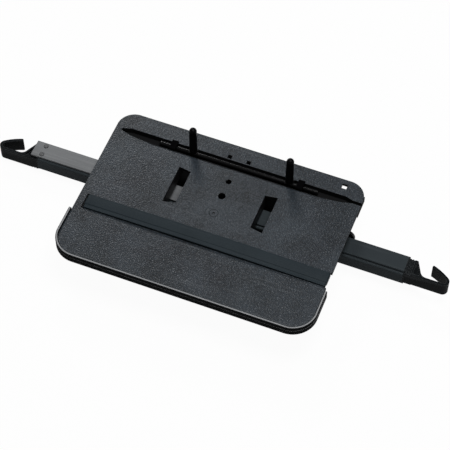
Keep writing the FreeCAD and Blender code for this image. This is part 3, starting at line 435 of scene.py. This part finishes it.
def drawn_metal(name, dark, light, wear_highlight_colour, rough, metallic, depth):
    """A flat drawn or turned metal finish with lines along the piece."""
    smooth_low, smooth_high = 0.3, 0.7
    material, tree, shader, coords = new_material(name)
    place = coords.outputs["Object"]
    shader.inputs["Metallic"].default_value = metallic
    lines = place_group(tree, DRAWN_LINES)
    mottle = place_group(tree, DYE_MOTTLE)
    edges = place_group(tree, EDGE_WEAR_HIGHLIGHT, Radius=METAL_EDGE_RADIUS)
    scuff = place_group(tree, SCUFFS)
    for node in (lines, mottle, edges, scuff):
        wire(tree, place, node.inputs["Vector"])
    line_part = math_node(tree, "MULTIPLY", lines.outputs["Shade"], METAL_LINE_SHARE)
    dye_part = math_node(tree, "MULTIPLY", mottle.outputs["Shade"], METAL_DYE_SHARE)
    colour = mix_colour(tree, math_node(tree, "ADD", line_part, dye_part), dark, light)
    scuffed = math_node(tree, "MULTIPLY", scuff.outputs["Scuff"], METAL_SCUFF_SHARE)
    colour = mix_colour(tree, scuffed, colour, wear_highlight_colour)
    # Edges take the scuff colour, partly as wear and partly as a painted highlight.
    wear_and_highlight = math_node(tree, "MULTIPLY", edges.outputs["Edge"], METAL_EDGE_SHARE)
    colour = mix_colour(tree, wear_and_highlight, colour, wear_highlight_colour)
    wire(tree, colour, shader.inputs["Base Color"])
    low, high = rough
    roughness = spread(tree, lines.outputs["Height"], smooth_low, smooth_high, low, high)
    wire(tree, roughness, shader.inputs["Roughness"])
    bump_shader(tree, shader, lines.outputs["Height"], depth, edges.outputs["Rounded"])
    return material


FINISHES = {
    # Tray: its steep faces and the groove floor more than 0.8 mm down are painted near black as painted shade.
    "tray_grain": moulded(
        "tray_charcoal_grain",
        dark=(0.0004, 0.0012, 0.0022), light=(0.03, 0.0385, 0.048), wear_highlight_colour=(0.075, 0.082, 0.088),
        cells=760.0, depth=0.0001, rough=(0.28, 0.42), shine=0.19,
        steep_shade_and_black=((0.0022, 0.0024, 0.0027), -0.0008, 0.85, 0.995)),
    # Trim: black on its steep faces; its level top is painted light grey as a painted highlight along the rim.
    "edge_trim": moulded(
        "trim_black_satin",
        dark=(0.17, 0.175, 0.18), light=(0.23, 0.235, 0.24), wear_highlight_colour=(0.26, 0.265, 0.27),
        cells=2600.0, depth=0.00003, rough=(0.3, 0.4), shine=0.05,
        steep_shade_and_black=((0.004, 0.0044, 0.0048), NO_FLOOR, 0.95, 0.999), ribs=1.6),
    "strap": moulded(
        "strap_smooth_band",
        dark=(0.0095, 0.0145, 0.018), light=(0.016, 0.0225, 0.027), wear_highlight_colour=(0.04, 0.05, 0.056),
        cells=3000.0, depth=0.000015, rough=(0.5, 0.6), shine=0.08),
    "rod_gloss": moulded(
        "rod_gloss_black",
        dark=(0.0015, 0.0015, 0.0017), light=(0.003, 0.003, 0.0033), wear_highlight_colour=(0.012, 0.012, 0.013),
        cells=1800.0, depth=0.000004, rough=(0.16, 0.22), shine=0.24),
    "small_black": moulded(
        "holder_satin_black",
        dark=(0.001, 0.001, 0.0012), light=(0.002, 0.002, 0.0022), wear_highlight_colour=(0.005, 0.005, 0.0055),
        cells=2200.0, depth=0.00002, rough=(0.7, 0.85), shine=0.005),
    "peg_black": moulded(
        "peg_semi_gloss",
        dark=(0.0012, 0.0012, 0.0014), light=(0.0025, 0.0025, 0.0028), wear_highlight_colour=(0.008, 0.008, 0.009),
        cells=2200.0, depth=0.00002, rough=(0.3, 0.4), shine=0.06),
    "housing_black": moulded(
        "housing_matt_black",
        dark=(0.005, 0.0053, 0.0057), light=(0.01, 0.0106, 0.0112), wear_highlight_colour=(0.02, 0.021, 0.022),
        cells=1400.0, depth=0.00002, rough=(0.35, 0.45), shine=0.2),
    "arm_plastic": moulded(
        "arm_dark_satin",
        dark=(0.02, 0.0245, 0.0275), light=(0.03, 0.0365, 0.04), wear_highlight_colour=(0.05, 0.057, 0.061),
        cells=2400.0, depth=0.00002, rough=(0.4, 0.5), shine=0.02),
    "arm_strip": drawn_metal(
        "strip_dull_grey",
        dark=(0.078, 0.082, 0.086), light=(0.112, 0.117, 0.122), wear_highlight_colour=(0.165, 0.171, 0.176),
        rough=(0.5, 0.65), metallic=0.1, depth=0.00002),
    # Hook: black, its edges painted much lighter, partly wear and partly a painted highlight along the band's
    # edges.
    "hook_plastic": moulded(
        "hook_black_satin",
        dark=(0.0035, 0.0042, 0.0047), light=(0.0065, 0.0076, 0.0084), wear_highlight_colour=(0.085, 0.092, 0.097),
        cells=2400.0, depth=0.00002, rough=(0.38, 0.5), shine=0.02, edge=0.0006, wear_and_highlight=0.8),
    "rivet": drawn_metal(
        "rivet_dark_grey",
        dark=(0.025, 0.0265, 0.028), light=(0.04, 0.042, 0.044), wear_highlight_colour=(0.09, 0.092, 0.095),
        rough=(0.45, 0.6), metallic=0.1, depth=0.00002),
    "steel": drawn_metal(
        "screw_plain_steel",
        dark=(0.3, 0.3, 0.305), light=(0.5, 0.5, 0.505), wear_highlight_colour=(0.65, 0.65, 0.65),
        rough=(0.28, 0.42), metallic=1.0, depth=0.00001),
}


def mm(x, y, z):
    return Vector((x * MM, y * MM, z * MM))


def keep_piece(name, bm, finish, body):
    bmesh.ops.recalc_face_normals(bm, faces=bm.faces[:])
    for face in bm.faces:
        face.smooth = True
    mesh = bpy.data.meshes.new(name)
    bm.to_mesh(mesh)
    bm.free()
    mesh.set_sharp_from_angle(angle=math.radians(SHARP_ANGLE))
    piece = bpy.data.objects.new(name, mesh)
    bpy.context.scene.collection.objects.link(piece)
    mesh.materials.append(FINISHES[finish])
    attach(piece, body)
    return piece


def push_ring(bm, ring, offset):
    made = bmesh.ops.extrude_edge_only(bm, edges=ring)["geom"]
    bmesh.ops.translate(bm, verts=[v for v in made if isinstance(v, bmesh.types.BMVert)], vec=offset)
    return [e for e in made if isinstance(e, bmesh.types.BMEdge)]


def turn_ring(bm, ring, centre, angle, steps):
    ends = list({v for e in ring for v in e.verts})
    made = bmesh.ops.spin(bm, geom=ring + ends, cent=centre, axis=(0.0, 1.0, 0.0), dvec=(0.0, 0.0, 0.0),
                          angle=angle, steps=steps, use_merge=False, use_normal_flip=False,
                          use_duplicate=False)["geom_last"]
    return [e for e in made if isinstance(e, bmesh.types.BMEdge)]


def make_strap():
    """The band runs along the underside, up through the notch, over the tray and down through the slot."""
    span = NOTCH_EDGE_X - SLOT_EDGE_X
    arch_r = (span * span / 4.0 + STRAP_RISE * STRAP_RISE) / (2.0 * STRAP_RISE)
    lean = math.asin(span / 2.0 / arch_r)
    arch_centre = mm((NOTCH_EDGE_X + SLOT_EDGE_X) / 2.0, 0.0, STRAP_RISE - arch_r)
    bm = bmesh.new()
    inner_z = -TRAY_T - STRAP_GAP
    points = [bm.verts.new(mm(SLOT_EDGE_X, y, inner_z - out)) for y, out in STRAP_SECTION]
    ring = [bm.edges.new((a, b)) for a, b in zip(points, points[1:] + points[:1])]
    quarter = -math.pi / 2.0
    ring = push_ring(bm, ring, mm(span, 0.0, 0.0))
    ring = turn_ring(bm, ring, mm(NOTCH_EDGE_X, 0.0, -TRAY_T), quarter, STRAP_TURN_STEPS)
    ring = push_ring(bm, ring, mm(0.0, 0.0, TRAY_T))
    ring = turn_ring(bm, ring, mm(NOTCH_EDGE_X, 0.0, 0.0), quarter + lean, STRAP_TURN_STEPS)
    ring = turn_ring(bm, ring, arch_centre, -2.0 * lean, STRAP_ARCH_STEPS)
    ring = turn_ring(bm, ring, mm(SLOT_EDGE_X, 0.0, 0.0), quarter + lean, STRAP_TURN_STEPS)
    ring = push_ring(bm, ring, mm(0.0, 0.0, -TRAY_T))
    turn_ring(bm, ring, mm(SLOT_EDGE_X, 0.0, -TRAY_T), quarter, STRAP_TURN_STEPS)
    bmesh.ops.remove_doubles(bm, verts=bm.verts[:], dist=STRAP_MERGE * MM)
    bmesh.ops.recalc_face_normals(bm, faces=bm.faces[:])
    corners = [e for e in bm.edges if e.is_manifold and e.calc_face_angle() > math.radians(ROUND_ANGLE)]
    bmesh.ops.bevel(bm, geom=corners, offset=STRAP_ROUND * MM, offset_type="OFFSET",
                    segments=STRAP_ROUND_SEGMENTS, profile=0.5, affect="EDGES", material=-1, clamp_overlap=True)
    strap = keep_piece("hold_down_band", bm, "strap", "tray")
    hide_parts("hold_down_strap")


def finish_cad_nodes():
    slots = {row["node"]: row["material_slot"] for row in frame["record"]["subparts"]}
    for name, node in frame["nodes"].items():
        finish = FINISHES["rivet" if name in RIVET_NODES else slots[name]]
        if not node.material_slots:
            node.data.materials.append(finish)
        for slot in node.material_slots:
            slot.material = finish


def make_floor_paper():
    """Pale paper that takes the shadow, blended with plain white where it is seen or mirrored."""
    material = bpy.data.materials.new("pale_floor")
    material.use_nodes = True
    tree = material.node_tree
    paper = next(n for n in tree.nodes if n.type == "BSDF_PRINCIPLED")
    surface = next(n for n in tree.nodes if n.type == "OUTPUT_MATERIAL").inputs["Surface"]
    paper.inputs["Base Color"].default_value = (FLOOR_GREY, FLOOR_GREY, FLOOR_GREY, 1.0)
    paper.inputs["Roughness"].default_value = FLOOR_ROUGHNESS
    paper.inputs["Specular IOR Level"].default_value = 0.0
    white = add(tree, "Emission")
    white.inputs["Color"].default_value = WHITE
    white.inputs["Strength"].default_value = 1.0
    rays = add(tree, "LightPath")
    seen = math_node(tree, "MAXIMUM", rays.outputs["Is Camera Ray"], rays.outputs["Is Glossy Ray"])
    seen = math_node(tree, "MAXIMUM", seen, rays.outputs["Is Transmission Ray"])
    blend = add(tree, "MixShader")
    wire(tree, math_node(tree, "MULTIPLY", seen, FLOOR_WHITE_SHARE), blend.inputs["Fac"])
    wire(tree, paper.outputs["BSDF"], blend.inputs[1])
    wire(tree, white.outputs["Emission"], blend.inputs[2])
    wire(tree, blend.outputs["Shader"], surface)
    return material


def make_floor():
    bm = bmesh.new()
    bmesh.ops.create_grid(bm, x_segments=1, y_segments=1, size=FLOOR_HALF_WIDTH)
    bmesh.ops.translate(bm, verts=bm.verts[:], vec=(0.0, 0.0, cad_low.z - FLOOR_GAP))
    mesh = bpy.data.meshes.new("pale_floor")
    bm.to_mesh(mesh)
    bm.free()
    floor = bpy.data.objects.new("pale_floor", mesh)
    bpy.context.scene.collection.objects.link(floor)
    mesh.materials.append(make_floor_paper())


def make_softbox(name, place, width, height, power):
    light = bpy.data.lights.new(name, "AREA")
    light.shape = "RECTANGLE"
    light.size = width
    light.size_y = height
    light.energy = power
    lamp = bpy.data.objects.new(name, light)
    bpy.context.scene.collection.objects.link(lamp)
    lamp.location = place
    lamp.rotation_mode = "QUATERNION"
    lamp.rotation_quaternion = (LOOK_AT - place).to_track_quat("-Z", "Y")


def light_scene():
    world = bpy.data.worlds.new("studio")
    bpy.context.scene.world = world
    world.use_nodes = True
    sky = next(n for n in world.node_tree.nodes if n.type == "BACKGROUND")
    sky.inputs["Color"].default_value = WHITE
    sky.inputs["Strength"].default_value = SKY_STRENGTH
    make_softbox("rear_softbox", *REAR_SOFTBOX)
    make_softbox("top_softbox", *TOP_SOFTBOX)


def make_camera():
    camera = bpy.data.objects.new("photo_camera", bpy.data.cameras.new("photo_camera"))
    bpy.context.scene.collection.objects.link(camera)
    around = math.radians(CAMERA_AZIMUTH)
    up = math.radians(CAMERA_ELEVATION)
    back = Vector((math.sin(around) * math.cos(up), -math.cos(around) * math.cos(up), math.sin(up)))
    camera.location = LOOK_AT + back * CAMERA_DISTANCE
    camera.rotation_mode = "QUATERNION"
    roll = Quaternion((0.0, 0.0, 1.0), math.radians(CAMERA_ROLL))
    camera.rotation_quaternion = (-back).to_track_quat("-Z", "Y") @ roll
    camera.data.sensor_width = CAMERA_SENSOR
    camera.data.lens = CAMERA_LENS
    camera.data.clip_start = CAMERA_NEAR
    camera.data.clip_end = CAMERA_FAR
    bpy.context.scene.camera = camera


make_camera()
make_strap()
finish_cad_nodes()
make_floor()
light_scene()
bpy.context.scene.view_settings.view_transform = "Standard"
